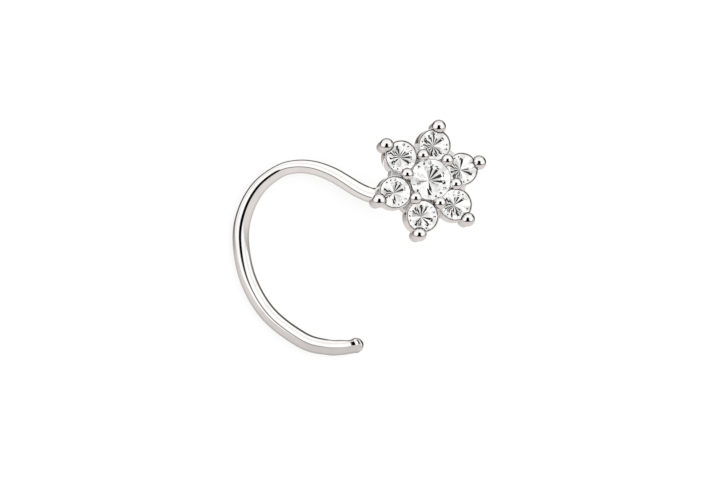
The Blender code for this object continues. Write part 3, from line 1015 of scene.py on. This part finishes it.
BELL_FLARE = 0.5  # that its foot is wider on either side
BELL_BLUR = 0.2
BELL_FOOT = 0.10
BELL_TOP = 0.70
CARD_BLUR = 0.025
CARD_EDGE = 0.66
CARD_EDGE_SHADE = 0.30
CREASE_PLACE = 0.52  # of a faint crease in the white, away from the strip
CREASE_WIDTH = 0.14
CREASE_DEPTH = 0.20
CARD_WHITE = (1.08, 1.08, 1.075)
CARD_TINT = (1.035, 0.985, 0.965)

# The light tent stands square to the camera, which looks down into it. Heights are on a sphere of radius 1
# round the object, and turns are in radians from the tent's front. A pair is where a change starts and ends
TENT_WHITE = (1.08, 1.08, 1.075)
TENT_SHADE = (0.93, 0.925, 0.91)
TENT_ROOF = (0.80, 0.79, 0.78)
BACKDROP = (0.36, 0.345, 0.335)
TABLE_LIGHT = (0.72, 0.675, 0.655)
TABLE_SHADE = (0.40, 0.36, 0.34)
OPENING = (0.055, 0.04, 0.033)
BLACK = (0.0, 0.0, 0.0)
SEEN_WHITE = (1.05, 1.05, 1.05)  # what the camera sees behind the object
CAST_WHITE = (1.6, 1.6, 1.6)  # what the tent casts on plain surfaces
TENT_PITCH = math.radians(21.4)
TENT_FOLDS = (0.45, 0.70)
ROOF_FADE = (-0.55, 0.30)  # along the camera's look
BACKDROP_FADE = (0.22, 0.42)
FLOWER_CARD = (0.66, 0.645, 0.635)  # grey card that the flower's flat faces mirror
FLOWER_CARD_SPREAD = math.radians(11.0)
FLOWER_CARD_SOLID_SHARE = 0.8
TABLE_EDGE = -0.266  # height of the table's far edge
TABLE_NEAR = -0.55
TABLE_EDGE_BLUR = 0.006
SEAM = (TABLE_EDGE + 0.10, TABLE_EDGE + 0.06)
SEAM_DEPTH = 0.75
DOORWAY_HALF_TURN = 0.42  # of the opening that the camera looks in by
DOORWAY_FLARE = 0.36  # that it is wider at the table
DOORWAY_FLARE_FADE = (0.12, TABLE_EDGE)
DOORWAY_SIDE = (-0.02, 0.02)
DOORWAY_TOP = (0.80, 0.76)
GAP_START = (1.85, 2.00)
GAP_END = (2.75, 2.60)
GAP_TOP = (0.60, 0.35)


def tent_light():
    """A white light tent over a pale table, with the camera's opening and two dark gaps at the sides."""
    world = bpy.data.worlds.new("tent")
    world.use_nodes = True
    bpy.context.scene.world = world
    tree = world.node_tree
    right, up, back = camera_axes()
    tent_up = back * math.sin(TENT_PITCH) + up * math.cos(TENT_PITCH)
    tent_front = back * math.cos(TENT_PITCH) - up * math.sin(TENT_PITCH)
    towards = Signal.node(tree, "ShaderNodeTexCoord", output="Generated")
    height = towards.dot(tent_up)
    aside = abs(towards.dot(right))
    turn = aside.math("ARCTAN2", aside, towards.dot(tent_front))
    folds = noise(towards, scale=1.7)
    tent = folds.within(*TENT_FOLDS).between(TENT_WHITE, TENT_SHADE)
    tent = towards.dot(-back).within(*ROOF_FADE).between(tent, TENT_ROOF)
    tent = towards.dot(-back).within(*BACKDROP_FADE).between(tent, BACKDROP)
    mirrored = post_direction() * (2.0 * post_direction().dot(back)) - back
    card_end = math.cos(FLOWER_CARD_SPREAD)
    card_start = math.cos(FLOWER_CARD_SPREAD * FLOWER_CARD_SOLID_SHARE)
    tent = towards.dot(mirrored).within(card_end, card_start).between(tent, FLOWER_CARD)
    table = height.within(TABLE_EDGE, TABLE_NEAR).between(TABLE_SHADE, TABLE_LIGHT)
    doorway_side = height.within(*DOORWAY_FLARE_FADE) * DOORWAY_FLARE + DOORWAY_HALF_TURN
    doorway = (doorway_side - turn).within(*DOORWAY_SIDE) * height.within(*DOORWAY_TOP)
    gap = turn.within(*GAP_START) * turn.within(*GAP_END) * height.within(*GAP_TOP)
    colour = (height.within(*SEAM) * SEAM_DEPTH).between(tent, OPENING)
    colour = gap.between(colour, OPENING)
    colour = doorway.between(colour, BLACK)
    below = height.within(TABLE_EDGE + TABLE_EDGE_BLUR, TABLE_EDGE - TABLE_EDGE_BLUR)
    colour = below.between(colour, table)
    seen = Signal.node(tree, "ShaderNodeLightPath", output="Is Camera Ray")
    colour = seen.between(colour, SEEN_WHITE)
    cast = Signal.node(tree, "ShaderNodeLightPath", output="Is Diffuse Ray")
    colour = cast.between(colour, CAST_WHITE)
    Signal.feed(colour, tree.nodes["Background"].inputs["Color"])


def card_bands(angle):
    """The card's strip and flanks at an angle of the hoop, between the two rows of its list round it."""
    angle = min(max(angle, WIRE_CARD[-1].angle), WIRE_CARD[0].angle)
    for first, second in zip(WIRE_CARD, WIRE_CARD[1:]):
        if angle >= second.angle:
            share = (first.angle - angle) / (first.angle - second.angle)
            return [Vector(a).lerp(b, share) for a, b in zip(first[1:], second[1:])]


def card_grey(tone):
    return Vector(CARD_TINT) * tone


def card_colour(angle, across):
    """The colour that the card shows to the wire at a place across it."""
    (strip, half, strip_tone), (inner, inner_tone), (outer, outer_tone) = card_bands(angle)
    crease = 1.0 - step(abs(abs(across - strip) - CREASE_PLACE), 0.0, CREASE_WIDTH)
    colour = Vector(CARD_WHITE) * (1.0 - CREASE_DEPTH * crease)
    colour = colour.lerp(card_grey(inner_tone), step(across, inner - CARD_BLUR, inner + CARD_BLUR))
    colour = colour.lerp(card_grey(outer_tone), step(-across, -outer - CARD_BLUR, -outer + CARD_BLUR))
    colour *= 1.0 - CARD_EDGE_SHADE * step(abs(across), CARD_EDGE, 1.0)
    flare = BELL_FLARE * step(-across, -(BELL_FOOT + BELL_TOP) / 2, -BELL_FOOT)
    beside = abs(angle - BELL_ANGLE) - flare
    bell = 1.0 - step(beside, BELL_HALF_WIDTH - BELL_BLUR, BELL_HALF_WIDTH + BELL_BLUR)
    bell *= step(across, BELL_FOOT - CARD_BLUR, BELL_FOOT + CARD_BLUR)
    bell *= 1.0 - step(across, BELL_TOP - CARD_BLUR, BELL_TOP + CARD_BLUR)
    colour *= 1.0 - bell
    clear = step(abs(across - strip), half - CARD_BLUR, half + CARD_BLUR)
    return card_grey(strip_tone).lerp(colour, clear)


def card_finish():
    """Card that glows with its own tones, and that only near gloss sees."""
    made, tree, shader = new_finish("reflector_card")
    Signal.feed(mesh_value(tree, "card_shade", "Color"), shader.inputs["Emission Color"])
    far = Signal.node(tree, "ShaderNodeLightPath", output="Ray Length")
    near = far.math("LESS_THAN", far, CARD_REACH)
    Signal.feed(near * mesh_value(tree, "card_shade", "Alpha"), shader.inputs["Alpha"])
    shader.inputs["Emission Strength"].default_value = 1.0
    shader.inputs["Base Color"].default_value = (0.0, 0.0, 0.0, 1.0)
    shader.inputs["Specular IOR Level"].default_value = 0.0
    return made


def wire_card():
    """A reflector card curved round the hoop, white with a black strip, for the wire's polish to mirror."""
    back = camera_axes()[2]
    shape = bmesh.new()
    shade = shape.verts.layers.float_color.new("card_shade")
    sections = wire_sections()
    (end, end_radius), (near, _) = sections[:2]
    past = (end - near).normalized() * CARD_OVERHANG / CARD_OVERHANG_RINGS
    overhang = [(end + past * count, end_radius) for count in range(CARD_OVERHANG_RINGS, 0, -1)]
    sections = [*overhang, *sections]
    rings = []
    for (before, _), (middle, radius), (after, _) in zip(sections, sections[1:], sections[2:]):
        angle = math.degrees(math.atan2(middle.y, middle.x)) % 360.0
        if angle < CARD_LAST_ANGLE:
            break
        along = (after - before).normalized()
        inner = along.cross(back).normalized()
        facing = inner.cross(along)
        rise = along.dot(back)
        ring = []
        for count in range(CARD_STEPS + 1):
            lie = math.pi * (count / CARD_STEPS - 0.5)
            reach = radius * math.cos(lie)
            way = math.sqrt(reach**2 + radius**2 * (CARD_DISTANCE**2 - 1.0)) - reach
            x = radius * math.sin(lie) + way * math.sin(2.0 * lie)
            y = radius * math.cos(lie) + way * math.cos(2.0 * lie)
            vertex = shape.verts.new(HOOP_CENTRE + middle + inner * x + facing * y)
            drift = math.degrees(-rise / math.sqrt(1.0 - rise**2) * way / HOOP_RADIUS)
            seen = angle + drift
            solid = step(CARD_FIRST_ANGLE - seen, 0.0, CARD_FADE)
            solid *= step(seen - CARD_LAST_ANGLE, 0.0, CARD_FADE)
            vertex[shade] = (*card_colour(seen, math.sin(lie)), solid)
            ring.append(vertex)
        rings.append(ring)
    for ring, following in zip(rings, rings[1:]):
        for i in range(CARD_STEPS):
            shape.faces.new((ring[i], ring[i + 1], following[i + 1], following[i]))
    made = mesh_object("wire_card", shape, card_finish())
    made.visible_camera = False
    made.visible_diffuse = False
    made.visible_transmission = False
    made.visible_shadow = False


# Whole scene

def metal_pieces():
    drawn = polished_metal("drawn_wire", drawn_marks, mark_depth=1.2e-7, smooth=0.025, rough=0.075)
    turned_bright = polished_metal("turned_bright", turned_marks, mark_depth=6e-8, smooth=0.03, rough=0.07)
    tumbled = polished_metal("tumbled_bright", tumbled_marks, mark_depth=1.5e-7, smooth=0.035, rough=0.09)
    brushed = polished_metal("brushed_bright", tumbled_marks, mark_depth=1.5e-7, smooth=0.42, rough=0.58)
    seat = seat_painted_shade_finish()
    count = range(len(PETALS))
    return [
        hoop_wire(drawn),
        end_ball(tumbled),
        post_solder(tumbled),
        centre_cup(turned_bright),
        *[petal_cup(number, turned_bright, seat) for number in count],
        *[web(number, brushed) for number in count],
        *prongs(tumbled),
    ]


def stones():
    finishes = crown_finish(), painted_pavilion_finish()
    turn = Matrix.Rotation(math.radians(CENTRE_STONE_TURN), 4, "Z")
    brilliant("centre_brilliant", "centre_stone", CENTRE_STONE_DIAMETER, CENTRE_PLACE @ turn,
              CENTRE_STONE_TURN, CENTRE_PAINTED_DARK_SIDES, CENTRE_DARK_LEAST, *finishes)
    for number, petal in enumerate(PETALS):
        placed = at(petal_angle(number), PETAL_CIRCLE_RADIUS, 0.0, math.radians(petal.stone_turn))
        heading = math.degrees(petal_angle(number)) + petal.stone_turn
        brilliant(f"petal_brilliant_{number + 1}", f"petal_stone_{number + 1}", PETAL_STONE_DIAMETER, placed,
                  heading, petal.dark_sides, PETAL_DARK_LEAST, *finishes)


for piece in metal_pieces():
    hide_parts("setting_and_hoop")
stones()
floor()
wire_card()
tent_light()
camera()
bpy.context.scene.view_settings.view_transform = "Standard"
